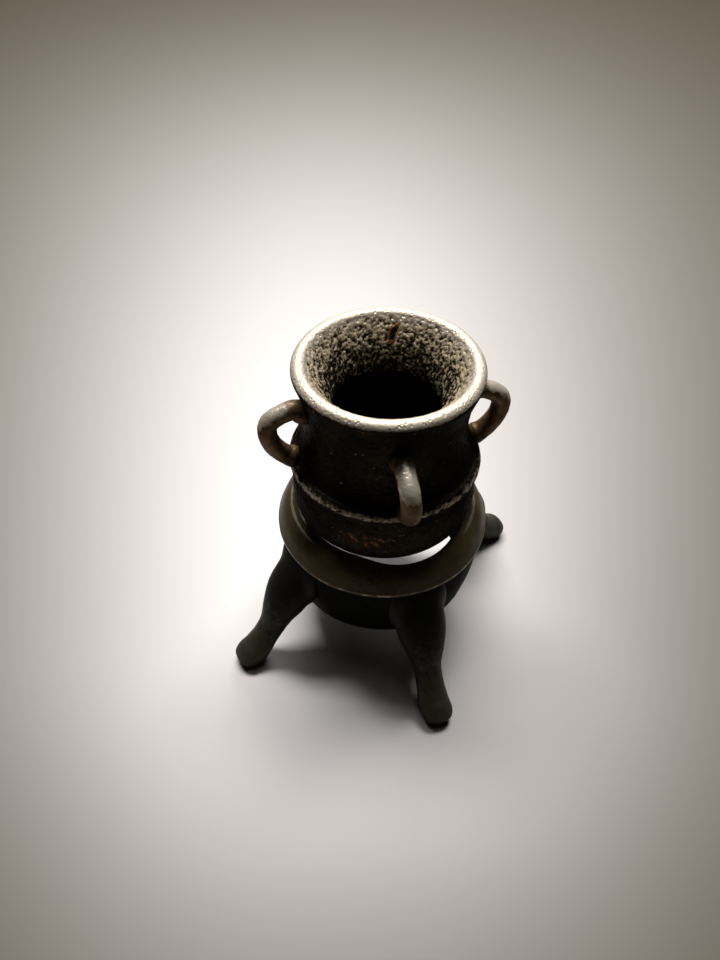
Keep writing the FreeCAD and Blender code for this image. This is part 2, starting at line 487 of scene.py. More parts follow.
@dataclass(frozen=True)
class Finish:
    """A patinated bronze: dark skin, cloudy second tone, rust, crust and rubbed metal, which also carries
    painted highlights.

    Attributes:
        name: name of the material.
        groups: the shared shader effects.
        dark: tone of the skin.
        cloud: tone of its cloudy patches.
        rust: tone under the rust mask.
        crust: tone under the crust mask.
        worn: tone where it is rubbed or painted with a highlight.
        dark_rough: roughness of the skin.
        worn_rough: roughness where it is rubbed or painted with a highlight.
        grain_scale: fineness of the cast grain.
        pit_scale: fineness of the pits.
        pit_depth: depth of the pits against the grain.
        bump: strength of grain and pits.
        cloud_scale: fineness of the cloudy patches.
        edge: brightness of reflections at a grazing angle.
        metal: metallic share of the skin.
        bare: metallic share where it is rubbed or painted with a highlight.
    """

    name: str
    groups: NodeGroups
    dark: Colour
    cloud: Colour
    rust: Colour
    crust: Colour
    worn: Colour
    dark_rough: float
    worn_rough: float
    grain_scale: float
    pit_scale: float
    pit_depth: float
    bump: float
    cloud_scale: float
    edge: float = 1.0
    metal: float = 0.9
    bare: float = 1.0

    def material(self) -> bpy.types.Material:
        """The finish's material, made on first use.

        Returns:
            The material.
        """
        found = bpy.data.materials.get(self.name)
        if found is not None:
            return found
        mat = bpy.data.materials.new(self.name)
        mat.use_nodes = True
        tree = mat.node_tree
        shader = tree.nodes["Principled BSDF"]
        pitting = self._group(tree, self.groups.pitting, {
            "Grain Scale": self.grain_scale, "Pit Scale": self.pit_scale, "Pit Depth": self.pit_depth})
        clouds = self._group(tree, self.groups.patina, {"Scale": self.cloud_scale})
        wear_and_painted_light, rust, crust = [self._rubbed(tree, mask) for mask in Mask]
        tone = self._mix(tree, clouds.outputs["Mask"], self.dark, self.cloud)
        tone = self._mix(tree, crust, tone, self.crust)
        tone = self._mix(tree, rust, tone, self.rust)
        tone = self._mix(tree, wear_and_painted_light, tone, self.worn)
        tree.links.new(tone, shader.inputs["Base Color"])
        rough = self._between(tree, wear_and_painted_light, self.dark_rough, self.worn_rough)
        tree.links.new(rough, shader.inputs["Roughness"])
        coat = maths(tree, "MAXIMUM", crust, rust)
        dull = self._between(tree, coat, self.metal, COATED_METAL)
        metal = self._between(tree, wear_and_painted_light, dull, self.bare)
        tree.links.new(metal, shader.inputs["Metallic"])
        shader.inputs["Specular IOR Level"].default_value = SPECULAR_LEVEL
        shader.inputs["Specular Tint"].default_value = (self.edge, self.edge, self.edge, 1.0)
        bump = tree.nodes.new("ShaderNodeBump")
        bump.inputs["Strength"].default_value = self.bump
        bump.inputs["Distance"].default_value = BUMP_MM * MM
        tree.links.new(pitting.outputs["Height"], bump.inputs["Height"])
        tree.links.new(bump.outputs["Normal"], shader.inputs["Normal"])
        return mat

    @staticmethod
    def _group(tree: Tree, group: Tree, values: dict[str, float]) -> Node:
        """Place a shared group with its own values."""
        node = tree.nodes.new("ShaderNodeGroup")
        node.node_tree = group
        for label, value in values.items():
            node.inputs[label].default_value = value
        return node

    def _rubbed(self, tree: Tree, mask: Mask) -> Socket:
        """Place the rubbed-edge group, fed by a point mask.

        Args:
            tree: the material's nodes.
            mask: the point attribute.

        Returns:
            The socket of the mask with its ragged border.
        """
        attribute = tree.nodes.new("ShaderNodeAttribute")
        attribute.attribute_name = mask.value
        border = BORDERS[mask]
        node = self._group(tree, self.groups.rub, {"Break Up": border.break_up, "Scale": border.scale})
        tree.links.new(attribute.outputs["Fac"], node.inputs["Mask"])
        return node.outputs["Mask"]

    @staticmethod
    def _between(tree: Tree, factor: Socket, low: float | Socket, high: float) -> Socket:
        """A value that runs from low to high as a mask runs from 0 to 1.

        Args:
            tree: the material's nodes.
            factor: socket of the mask.
            low: value, or socket of a value, where the mask is 0.
            high: value where the mask is 1.

        Returns:
            The socket of the value.
        """
        node = tree.nodes.new("ShaderNodeMapRange")
        if isinstance(low, float):
            node.inputs["To Min"].default_value = low
        else:
            tree.links.new(low, node.inputs["To Min"])
        node.inputs["To Max"].default_value = high
        tree.links.new(factor, node.inputs["Value"])
        return node.outputs["Result"]

    @staticmethod
    def _mix(tree: Tree, factor: Socket, first: Colour | Socket, second: Colour) -> Socket:
        """Mix two colours by a mask.

        Args:
            tree: the material's nodes.
            factor: socket of the mask.
            first: colour, or socket of a colour, where the mask is 0.
            second: colour where the mask is 1.

        Returns:
            The socket of the mixed colour.
        """
        node = tree.nodes.new("ShaderNodeMix")
        node.data_type = "RGBA"
        tree.links.new(factor, node.inputs[0])
        if isinstance(first, tuple):
            node.inputs[6].default_value = (*first, 1.0)
        else:
            tree.links.new(first, node.inputs[6])
        node.inputs[7].default_value = (*second, 1.0)
        return node.outputs[2]


@dataclass(frozen=True)
class Fits:
    """Heights shared by the stand and the pot, in mm, as in the solids."""

    apron_low: float = 11.0
    collar_low: float = 23.75
    pot_base: float = 26.75
    bead: float = 39.75
    neck: float = 47.65
    rim: float = 57.5


@dataclass
class Pot:
    """The cast pot: rolled lip, funnel mouth, throat, bell body, bead and rounded base. Sizes in mm."""

    finish: Finish
    fits: Fits = Fits()
    belly: float = 15.75
    corner: float = 6.0
    wall: float = 1.9
    bead_tube: float = 1.05
    neck: float = 13.2
    rim: float = 15.0
    lip: float = 1.25
    lip_turn: float = 135.0
    throat: float = 8.8
    throat_drop: float = 5.7
    throat_length: float = 2.6
    rust_azimuth: float = -8.0
    rust_height: float = 34.4
    scar_side: float = 0.5
    scar_height: float = 55.9
    scar_sizes: Point = (1.45, 0.6)
    scar_tilt: Point = (0.87, 0.5)
    segments: int = 384

    def profile(self) -> tuple[np.ndarray, np.ndarray]:
        """The wall's outline from the base's middle, up the outside and down the inside.

        Returns:
            The (r, z) points, and a zone for each.
        """
        f = self.fits
        at_bead = self.belly - 0.75
        under_bead, over_bead = (at_bead + 0.12, f.bead - 1.45), (at_bead - 0.18, f.bead + 1.5)
        corner_r, corner_z = self.belly - self.corner, f.pot_base + self.corner
        lip_centre = (self.rim - self.lip, f.rim)
        throat_z = f.rim - self.throat_drop
        flare = (self.rim - 0.1, f.rim - 0.5)
        outside = [
            smooth_line([(0.02, f.pot_base), (0.5 * corner_r, f.pot_base), (corner_r, f.pot_base)], 22)[:-1],
            round_line((corner_r, corner_z), self.corner, -90, 0, 34)[:-1],
            smooth_line([(self.belly, corner_z), (self.belly - 0.18, corner_z + 3.1), under_bead], 22)[:-1],
            smooth_line([under_bead, (at_bead + 0.78, f.bead - 0.86), (at_bead + self.bead_tube, f.bead),
                         (at_bead + 0.7, f.bead + 0.92), over_bead], 30)[:-1],
            smooth_line([over_bead, (13.95, f.bead + 3.0), (13.3, f.bead + 5.3), (self.neck - 0.05, f.neck),
                         (self.neck + 0.1, f.neck + 2.6), (13.65, f.neck + 5.4), (14.35, f.neck + 7.7),
                         flare], 56)[:-1],
        ]
        start = math.degrees(math.atan2(flare[1] - lip_centre[1], flare[0] - lip_centre[0]))
        lip = round_line(lip_centre, self.lip, start, self.lip_turn, 30)[:-1]
        lip_end = round_line(lip_centre, self.lip, self.lip_turn, self.lip_turn, 1)[0]
        funnel = smooth_line([tuple(lip_end), (11.9, f.rim - 0.45), (10.85, f.rim - 1.95),
                              (9.75, f.rim - 3.7), (self.throat + 0.12, throat_z)], 48)
        inside = [
            np.array([(self.throat, throat_z - 0.25)]),
            smooth_line([(self.throat, throat_z - 0.6), (self.throat, throat_z - self.throat_length)], 6),
            smooth_line([(self.throat + 0.2, throat_z - self.throat_length - 0.1), (10.1, f.neck + 0.9),
                         (self.neck - self.wall, f.neck - 0.8)], 10),
            smooth_line([(self.neck - self.wall, f.neck - 1.6), (at_bead - self.wall, f.bead),
                         (self.belly - self.wall, corner_z)], 22),
            round_line((corner_r, corner_z), self.corner - self.wall, 0, -90, 14)[1:],
            smooth_line([(corner_r - 0.6, f.pot_base + self.wall), (0.02, f.pot_base + self.wall)], 12),
        ]
        outside, inside = np.vstack(outside), np.vstack(inside)
        parts = [outside, lip, funnel, inside]
        return np.vstack(parts), np.repeat(list(Zone), [len(part) for part in parts])

    def build(self) -> bpy.types.Object:
        """Make the pot's skin with its cast surface.

        Returns:
            The piece.
        """
        f = self.fits
        line, zones = self.profile()
        skin = spin_skin("pot_body", line, self.segments, False)
        zone = np.repeat(zones, self.segments)
        p = skin.points
        x, y, z = p.T
        radius = np.hypot(x, y)
        outside = np.where(zone == Zone.OUTSIDE, 1.0, 0.0)

        # Angle round the lip, carried on down the funnel at about the same degrees for each mm
        from_centre, over_rim = radius - (self.rim - self.lip), z - f.rim
        lip_angle = np.degrees(np.arctan2(over_rim, from_centre))
        degrees_per_mm = 46.0
        past = np.hypot(from_centre + DIAGONAL * self.lip, over_rim - DIAGONAL * self.lip)
        down = np.where(zone >= Zone.FUNNEL, self.lip_turn + degrees_per_mm * past, 0.0)
        inward = np.where(zone == Zone.LIP, lip_angle, down)

        # Cast surface: smooth where the pot sits, rough above it and roughest in the funnel
        funnel = smooth_step(116.0, 168.0, inward) * (z > f.rim - self.throat_drop - 2.0)
        below = smooth_step(1.0, 3.5, -over_rim) * outside
        seated = smooth_step(f.collar_low + 5.2, f.collar_low + 7.0, z)
        lumps = grain(p, 4.5, 1.0, 2)
        rough = grain(p, 0.9, 2.0, 2)
        grit = grain(p, 0.44, 4.0, 2)
        hollows = pits(p, 0.8, 3.0)
        bead = np.exp(-((z - f.bead) / 1.5) ** 4) * outside
        amount = 0.06 * lumps * (0.4 + 0.6 * below) * np.where(zone == Zone.INSIDE, 0.3, 1.0) * seated
        amount += below * seated * (1.0 - 0.7 * bead) * (0.05 * rough - 0.08 * hollows)
        amount += funnel * (0.09 * rough + 0.10 * grit - 0.12 * hollows)
        skin.push(amount)

        # Wear and painted highlight: the rubbed lip, its pale band spread far inward to paint the lip's broad
        # highlight, a worn line on the bead's crest that also paints its highlight, and rubbed flecks that
        # paint glints on the body
        lip_wear_and_highlight = np.where(zone == Zone.LIP, smooth_step(-5.0, 38.0, lip_angle), 1.0)
        fading = smooth_step(120.0, 245.0, inward)
        ragged = 2.6 * fading * (1.0 - fading) * grit
        lip_wear_and_highlight *= (zone > Zone.OUTSIDE) * np.clip(1.0 - fading + ragged, 0.0, 1.0)
        bead_highlight_line = 1.0 - smooth_step(0.1, 0.9, np.abs(z - f.bead - 0.55))
        bead_wear_and_highlight = bead_highlight_line * outside * smooth_step(14.9, 15.6, radius)
        glint_specks = 0.36 * smooth_step(0.2, 0.8, grit) * below * seated
        skin.masks[Mask.WEAR_AND_PAINTED_LIGHT] = np.maximum(lip_wear_and_highlight, np.maximum((0.52 + 0.34 * grit) * bead_wear_and_highlight, glint_specks))

        # Rust: a patch low at the front, the scar's edge, the lip's lower edge and the bead
        azimuth = np.degrees(np.arctan2(x, -y))
        patch = np.exp(-((azimuth - self.rust_azimuth) / 20) ** 2
                       - ((z - self.rust_height) / 2.2) ** 2) * outside
        beside, above = x - self.scar_side, z - self.scar_height
        along = self.scar_tilt[0] * above + self.scar_tilt[1] * beside
        aside = self.scar_tilt[0] * beside - self.scar_tilt[1] * above
        leaf = np.hypot(along / self.scar_sizes[0], aside / self.scar_sizes[1])
        at_back = (zone == Zone.FUNNEL) * (y > 0.0)
        mark = np.exp(-((leaf - 1.0) / 0.36) ** 2) * at_back
        edge = smooth_step(-45.0, -15.0, lip_angle) * (1.0 - smooth_step(12.0, 42.0, lip_angle))
        edge *= zone == Zone.LIP
        skin.masks[Mask.RUST] = np.clip(0.30 * patch + 0.62 * mark + 0.14 * edge + 0.1 * bead_wear_and_highlight, 0, 1)

        # Crust: crumbs in the funnel, denser towards the lip so that the funnel is paler there, and missing
        # in the scar
        scar = np.exp(-leaf ** 4) * at_back
        near_lip = 1.0 - smooth_step(0.0, 5.0, np.hypot(from_centre, over_rim) - self.lip)
        crumbs = np.clip(0.36 + 0.34 * near_lip + 0.4 * grit + 0.25 * rough - 0.3 * hollows, 0, 1)
        skin.masks[Mask.CRUST] = funnel * (1.0 - 0.8 * scar) * crumbs
        return skin.to_object(self.finish, Body.POT, Slot.POT)


@dataclass
class Handle:
    """One bent-rod loop, brazed under the flare and spread flat over the bead. Sizes in mm."""

    side: str
    azimuth: float
    finish: Finish
    fits: Fits = Fits()
    lean: float = 0.0
    neck: float = 13.2
    reach: float = 19.25
    rod: float = 1.6
    at_bead: float = 15.0
    top_rise: float = 3.3
    foot_rise: float = 1.4
    segments: int = 40

    def build(self) -> bpy.types.Object:
        """Make the loop's skin.

        Returns:
            The piece.
        """
        out, rod = self.reach, self.rod
        bead = self.fits.bead
        top, foot = self.fits.neck + self.top_rise, bead + self.foot_rise
        knots = [
            (self.neck - 1.0, top - 1.0, 1.7, 1.75),
            (self.neck + 0.3, top - 0.5, 1.95, 1.9),
            (self.neck + 2.2, top + 0.15, rod, rod),
            (out - 0.6, top - 1.6, 0.98 * rod, rod),
            (out, top - 4.1, rod, rod),
            (out - 0.8, foot + 3.1, rod, rod),
            (out - 2.4, foot + 1.0, 1.02 * rod, 1.04 * rod),
            (self.at_bead + 0.55, foot + 0.15, 1.95, 1.8),
            (self.at_bead - 0.4, foot, 1.7, 1.6),
        ]
        skin = sweep_skin("handle_" + self.side, smooth_line(knots, 90), self.segments)
        seed = 20.0 + self.azimuth
        skin.push(0.07 * grain(skin.points, 2.4, seed, 2) + 0.03 * grain(skin.points, 0.6, seed, 3))
        p = skin.points
        facing = skin.normals()
        # Rubbed bronze on the outward-facing top of the loop, pale enough to paint the loop's top highlight
        # as well
        outward = np.clip(0.75 * facing[:, 0] + 0.65 * facing[:, 2], 0.0, 1.0)
        clear = smooth_step(self.at_bead + 0.6, self.at_bead + 2.2, p[:, 0])
        mottle = grain(p, 1.6, seed + 3.0, 3)
        upper = smooth_step(foot + 5.8, top + 0.4, p[:, 2])
        rubbed = np.clip((1.5 * outward + 0.5 * mottle) * upper, 0.0, 1.0)
        skin.masks[Mask.WEAR_AND_PAINTED_LIGHT] = rubbed * (0.4 + 0.6 * clear)
        # Darker towards the foot, where the loop meets the bead
        skin.masks[Mask.RUST] = 0.9 * (1.0 - smooth_step(bead + 0.5, bead + 4.5, p[:, 2]))
        tilt = math.radians(self.lean)
        middle = 0.5 * (top + foot)
        across, height = p[:, 1].copy(), p[:, 2] - middle
        p[:, 1] = across * math.cos(tilt) - height * math.sin(tilt)
        p[:, 2] = middle + across * math.sin(tilt) + height * math.cos(tilt)
        skin.turn(self.azimuth)
        return skin.to_object(self.finish, Body.POT, Slot.HANDLE)


@dataclass
class Collar:
    """The sloping band that the pot sits in, worn out of round on one side. Sizes in mm."""

    finish: Finish
    fits: Fits = Fits()
    seat_low: Point = (14.280, 28.640)
    seat_top: Point = (14.896, 29.428)
    band: float = 3.85
    edge: float = 0.7
    bulge: float = 0.62
    spigot: float = 16.396
    spigot_depth: float = 1.5
    worn_reach: float = 1.0
    worn_half_angle: float = 35.0
    worn_azimuth: float = 23.0
    ridge: float = 16.15
    ridge_half_width: float = 0.2
    ridge_height: float = 0.12
    ridge_gap_azimuth: float = 9.0
    segments: int = 320

    def build(self) -> bpy.types.Object:
        """Make the collar's skin.

        Returns:
            The piece.
        """
        low = self.fits.collar_low
        out = self.seat_top[0] + self.band
        foot = low - self.spigot_depth
        shoulder = (self.seat_top[0] + 0.35, self.seat_top[1] - 0.12)
        lip = (out, low + self.edge)
        middle = (0.5 * (shoulder[0] + lip[0]) + 0.74 * self.bulge,
                  0.5 * (shoulder[1] + lip[1]) + 0.67 * self.bulge)
        line = np.vstack([
            smooth_line([(self.seat_low[0], foot), (self.spigot, foot)], 6)[:-1],
            smooth_line([(self.spigot, foot), (self.spigot, low)], 5)[:-1],
            smooth_line([(self.spigot, low), (out - 0.16, low)], 6),
            smooth_line([(out - 0.04, low + 0.05), (out, low + 0.18), (out - 0.02, low + 0.45), lip], 7)[:-1],
            smooth_line([lip, middle, shoulder], 34)[:-1],
            smooth_line([shoulder, (self.seat_top[0] + 0.12, self.seat_top[1] - 0.02),
                         self.seat_top], 5)[:-1],
            smooth_line([self.seat_top, self.seat_low], 6)[:-1],
            smooth_line([self.seat_low, (self.seat_low[0], foot)], 12)[:-1],
        ])
        skin = spin_skin("collar_ring", line, self.segments, True)
        self._wear_out(skin, shoulder, middle, lip)
        p = skin.points
        radius = np.hypot(p[:, 0], p[:, 1])
        outer = smooth_step(15.6, 16.4, radius)
        skin.push(outer * (0.06 * grain(p, 6.0, 5.0, 2) + 0.018 * grain(p, 1.0, 6.0, 3)))
        # A raised worn ridge on the band, painted pale as a highlight line; it is left out round the front,
        # where the band lies in shade
        azimuth = np.degrees(np.arctan2(p[:, 0], -p[:, 1]))
        beyond_gap = smooth_step(42.0, 66.0, np.abs(azimuth - self.ridge_gap_azimuth))
        ridge = np.exp(-((radius - self.ridge) / self.ridge_half_width) ** 2) * beyond_gap
        ridge *= p[:, 2] > low + self.edge
        skin.push(self.ridge_height * ridge)
        rim_wear = np.exp(-((radius - 14.98) / 0.3) ** 2) * smooth_step(28.0, 28.9, p[:, 2])
        edge_wear = np.exp(-((p[:, 2] - low - 0.45) / 0.3) ** 2) * smooth_step(18.2, 18.6, radius)
        # The bore's upper wall, rubbed and painted pale so that the gap under the pot reads as lit
        bore_wear_and_painted_light = (1.0 - smooth_step(15.9, 16.2, radius)) * smooth_step(24.0, 26.5, p[:, 2])
        bore_wear_and_painted_light *= 1.0 - smooth_step(28.2, 28.8, p[:, 2])
        skin.masks[Mask.WEAR_AND_PAINTED_LIGHT] = np.clip(rim_wear + 0.42 * edge_wear + 0.6 * bore_wear_and_painted_light + 0.9 * ridge, 0, 1)
        skin.masks[Mask.RUST] = 0.42 * np.exp(-((azimuth + 6) / 20) ** 2) * outer
        return skin.to_object(self.finish, Body.STAND, Slot.STAND)

    def _wear_out(self, skin: Skin, shoulder: Point, middle: Point, lip: Point) -> None:
        """Open the bore on its worn side, by moving the points that the solid has cut away.

        Args:
            skin: the collar's skin, changed in place.
            shoulder: top of the band.
            middle: middle of the band.
            lip: foot of the band.
        """
        near, far = self.seat_top[0], self.seat_top[0] + self.worn_reach
        swing = math.cos(math.radians(self.worn_half_angle))
        shift = (far * far - near * near) / (2.0 * (far - near * swing))
        bore = far - shift
        p = skin.points
        radius = np.hypot(p[:, 0], p[:, 1])
        angle = np.arctan2(p[:, 1], p[:, 0]) - math.radians(self.worn_azimuth - 90.0)
        reach = shift * np.cos(angle) + np.sqrt(np.maximum(bore ** 2 - (shift * np.sin(angle)) ** 2, 0.0))
        cut = radius < reach
        band = smooth_line([lip, middle, shoulder], 60)[::-1]
        ceiling = np.interp(reach, band[:, 0], band[:, 1])
        p[cut, 0] *= reach[cut] / radius[cut]
        p[cut, 1] *= reach[cut] / radius[cut]
        p[cut, 2] = np.minimum(p[cut, 2], ceiling[cut])


@dataclass
class Apron:
    """The bowl-shaped skirt under the collar, open above and below. Sizes in mm."""

    finish: Finish
    fits: Fits = Fits()
    top: float = 17.996
    taper: float = 1.5
    wall: float = 1.6
    segments: int = 256

    def build(self) -> bpy.types.Object:
        """Make the apron's skin.

        Returns:
            The piece.
        """
        high, low = self.fits.collar_low, self.fits.apron_low
        drop = high - low

        def side(inset: float) -> list[Point]:
            """Top, middle and low point of one side of the wall."""
            return [(self.top - inset, high), (self.top - 0.16 * self.taper - inset, high - 0.52 * drop),
                    (self.top - self.taper - inset, low)]

        outer, inner = side(0.0), side(self.wall)
        middle = 0.5 * (outer[2][0] + inner[2][0])
        line = np.vstack([
            smooth_line([inner[0], outer[0]], 5)[:-1],
            smooth_line(outer, 40)[:-1],
            smooth_line([outer[2], (middle, low - 0.45), inner[2]], 9)[:-1],
            smooth_line(inner[::-1], 24)[:-1],
        ])[::-1]
        skin = spin_skin("apron_ring", line, self.segments, True)
        p = skin.points
        free = smooth_step(0.0, 1.2, high - p[:, 2])
        skin.push(free * (0.08 * grain(p, 6.5, 8.0, 2) + 0.02 * grain(p, 1.1, 9.0, 3)))
        skin.masks[Mask.WEAR_AND_PAINTED_LIGHT] = 0.25 * np.exp(-((p[:, 2] - low) / 0.5) ** 2)
        return skin.to_object(self.finish, Body.STAND, Slot.STAND)


@dataclass
class Leg:
    """One cabriole leg with a root on the apron, knee, slim ankle and turned-out foot. Sizes in mm."""

    side: str
    azimuth: float
    finish: Finish
    fits: Fits = Fits()
    collar: float = 18.746
    foot_reach: float = 28.6
    apron_top: float = 17.996
    apron_taper: float = 1.5
    segments: int = 48

    def stations(self) -> np.ndarray:
        """The leg's line as rows of outer r and z, inner r and z, and half width.

        Returns:
            The rows, from the collar down to the toe.
        """
        span, high = self.foot_reach - self.collar, self.fits.collar_low
        shares = [
            (-0.05, 1.0, -0.33, 0.926, 3.5), (0.15, 0.89, -0.32, 0.783, 4.1),
            (0.37, 0.766, -0.28, 0.632, 4.5), (0.53, 0.648, -0.178, 0.514, 4.2),
            (0.625, 0.535, 0.056, 0.408, 3.35), (0.716, 0.40, 0.269, 0.299, 2.6),
            (0.865, 0.299, 0.482, 0.173, 2.5), (1.03, 0.226, 0.70, 0.035, 2.72),
            (1.16, 0.190, 0.98, -0.02, 2.8), (1.25, 0.150, 1.18, 0.0, 2.3),
            (1.30, 0.115, 1.28, 0.045, 1.4), (1.315, 0.09, 1.31, 0.075, 0.4),
        ]
        rows = [(self.collar + a * span, b * high, self.collar + c * span, d * high, w)
                for a, b, c, d, w in shares]
        return smooth_line(rows, 120)

    def build(self) -> bpy.types.Object:
        """Make the leg's skin.

        Returns:
            The piece.
        """
        angles = np.linspace(0.0, TURN, self.segments, endpoint=False)
        rows = []
        for far_r, far_z, near_r, near_z, wide in self.stations():
            ring = np.zeros((self.segments, 3))
            ring[:, 0] = 0.5 * (far_r + near_r) + 0.5 * (far_r - near_r) * np.sin(angles)
            ring[:, 1] = wide * np.cos(angles)
            ring[:, 2] = 0.5 * (far_z + near_z) + 0.5 * (far_z - near_z) * np.sin(angles)
            rows.append(ring)
        skin = Skin("leg_" + self.side, np.vstack(rows), capped_faces(len(rows), self.segments))
        seed = 40.0 + self.azimuth
        skin.push(0.10 * grain(skin.points, 5.0, seed, 2) + 0.02 * grain(skin.points, 1.0, seed, 3))
        self._root(skin)
        skin.points[:, 2] = np.maximum(skin.points[:, 2], 0.0)
        r, z = skin.points[:, 0], skin.points[:, 2]
        skin.masks[Mask.WEAR_AND_PAINTED_LIGHT] = 0.85 * smooth_step(19.5, 30.0, r) * smooth_step(0.9, 3.6, z)
        skin.turn(self.azimuth)
        return skin.to_object(self.finish, Body.STAND, Slot.LEG)

    def _root(self, skin: Skin) -> None:
        """Flare the leg where it meets the apron, and keep its root inside the apron's wall.

        Args:
            skin: the leg's skin, changed in place.
        """
        high, low = self.fits.collar_low, self.fits.apron_low
        p = skin.points
        down = np.clip((high - p[:, 2]) / (high - low), 0.0, 1.0)
        apron = self.apron_top - self.apron_taper * (0.12 * down + 0.88 * down ** 2.4)
        beyond = np.hypot(p[:, 0], p[:, 1]) - apron
        fade = smooth_step(low - 1.0, low + 3.0, p[:, 2])
        p[:, 1] *= 1.0 + 0.34 * np.exp(-(np.maximum(beyond, 0.0) / 1.1) ** 2) * fade
        wall = apron - 0.7
        radius = np.hypot(p[:, 0], p[:, 1])
        held = (p[:, 2] > low + 0.1) & (radius < wall)
        grow = np.where(held, wall / np.maximum(radius, 1e-6), 1.0)
        p[:, 0] *= grow
        p[:, 1] *= grow
        p[:, 2] = np.minimum(p[:, 2], high + 0.2)


@dataclass(frozen=True)
class Panel:
    """One light panel: its centre, the point that it faces, its width and depth in mm, and its watts."""

    name: str
    place: Place
    size: Point
    power: float
    aim: Place = (0.0, 0.0, 20.0)

    def hang(self) -> None:
        """Put the panel into the scene."""
        data = bpy.data.lights.new(self.name, "AREA")
        data.shape = "RECTANGLE"
        data.size, data.size_y = self.size[0] * MM, self.size[1] * MM
        data.energy = self.power
        lamp = bpy.data.objects.new(self.name, data)
        lamp.location = Vector(self.place) * MM
        lamp.rotation_euler = (Vector(self.aim) - Vector(self.place)).to_track_quat("-Z", "Y").to_euler()
        bpy.context.scene.collection.objects.link(lamp)


PANELS = (
    Panel("back_light", (-26.0, 250.0, 632.0), (560.0, 165.0), 6.42),
    Panel("low_light", (0.0, 560.0, 330.0), (300.0, 300.0), 1.30),
    Panel("top_light", (0.0, 20.0, 700.0), (200.0, 200.0), 0.15),
)


